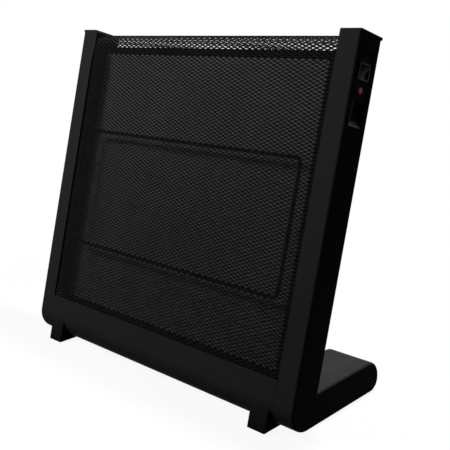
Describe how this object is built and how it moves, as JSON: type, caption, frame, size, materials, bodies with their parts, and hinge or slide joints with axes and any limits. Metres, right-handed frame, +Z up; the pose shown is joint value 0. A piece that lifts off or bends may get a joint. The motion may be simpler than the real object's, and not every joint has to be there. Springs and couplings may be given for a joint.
{
  "type": "panel heater",
  "caption": "Free-standing flat panel heater: a leaning mesh-guarded panel between side covers that turn into foot arms, with a rocker switch, a pilot lamp and finger grips.",
  "frame": {"origin": "centre of the bounding box at floor level", "axes": "+X across the width towards the controls, +Y from the front of the panel to the rear, +Z up from the floor"},
  "size_m": [0.621, 0.239, 0.573],
  "materials": {
    "cover_plastic": "fine-grained moulded plastic, charcoal",
    "black_plastic": "smooth moulded plastic, black",
    "switch_plastic": "polished moulded plastic, black",
    "lamp_red": "clear red plastic, unlit",
    "pad_rubber": "soft rubber",
    "cover_sheet": "satin black paint",
    "guard_paint": "matt black paint",
    "radiant_paint": "heat-proof grey paint",
    "mica": "pressed mica flakes, dull",
    "ribbon_metal": "rolled resistance ribbon",
    "zinc_steel": "zinc-coated steel sheet",
    "screw_steel": "zinc-coated screws and wire",
    "ceramic": "unglazed ceramic",
    "wire_cover": "woven sleeve over insulated wire",
    "tab_brass": "bare brass"
  },
  "bodies": {
    "heater": {"base_cover_left": "black_plastic", "base_cover_right": "black_plastic", "base_screws": "screw_steel", "bracket_screws": "screw_steel", "ceramic_spacers": "ceramic", "column_posts": "zinc_steel", "control_plate": "cover_plastic", "cord_gland": "black_plastic", "cross_bar": "zinc_steel", "earth_tab": "tab_brass", "element_bottom_channel": "zinc_steel", "element_screws": "screw_steel", "element_side_channels": "zinc_steel", "element_top_channel": "zinc_steel", "floor_pads": "pad_rubber", "foot_screws": "screw_steel", "front_grille": "guard_paint", "front_rail": "cover_plastic", "gland_nut": "black_plastic", "grille_brace": "guard_paint", "grip_cup_left": "black_plastic", "grip_cup_right": "black_plastic", "guard_strips_left": "cover_sheet", "guard_strips_right": "cover_sheet", "heating_ribbon": "ribbon_metal", "inner_cover_left": "cover_sheet", "inner_cover_right": "cover_sheet", "lamp_holder": "black_plastic", "leg_bracket_left": "zinc_steel", "leg_bracket_right": "zinc_steel", "mica_board_front": "mica", "mica_board_rear": "mica", "pilot_lens": "lamp_red", "radiant_sheet_front": "radiant_paint", "radiant_sheet_rear": "radiant_paint", "rear_grille": "guard_paint", "rear_rail": "cover_plastic", "rear_rail_screws": "screw_steel", "side_cover_left": "cover_plastic", "side_cover_right": "cover_plastic", "switch_body": "switch_plastic", "terminal_block": "ceramic", "thermal_cutout": "zinc_steel", "tip_spring": "screw_steel", "tip_switch_body": "black_plastic", "toe_foot_left": "black_plastic", "toe_foot_right": "black_plastic", "top_cap_left": "cover_plastic", "top_cap_right": "cover_plastic", "wiring": "wire_cover"},
    "rocker": {"switch_rocker": "switch_plastic"},
    "plunger": {"tip_plunger": "black_plastic"}
  },
  "joints": [
    {"name": "rocker_tilt", "type": "hinge", "parent": "heater", "child": "rocker", "pos_m": [0.3048, 0.03857, 0.51285], "axis": [0, -0.969, 0.247], "range_deg": [0, 16]},
    {"name": "plunger_slide", "type": "slide", "parent": "heater", "child": "plunger", "axis": [0, 0, -1], "range_m": [0, 0.004], "stiffness_N_per_m": 200, "springref_m": 0.008, "deforming": ["tip_spring"]}
  ]
}
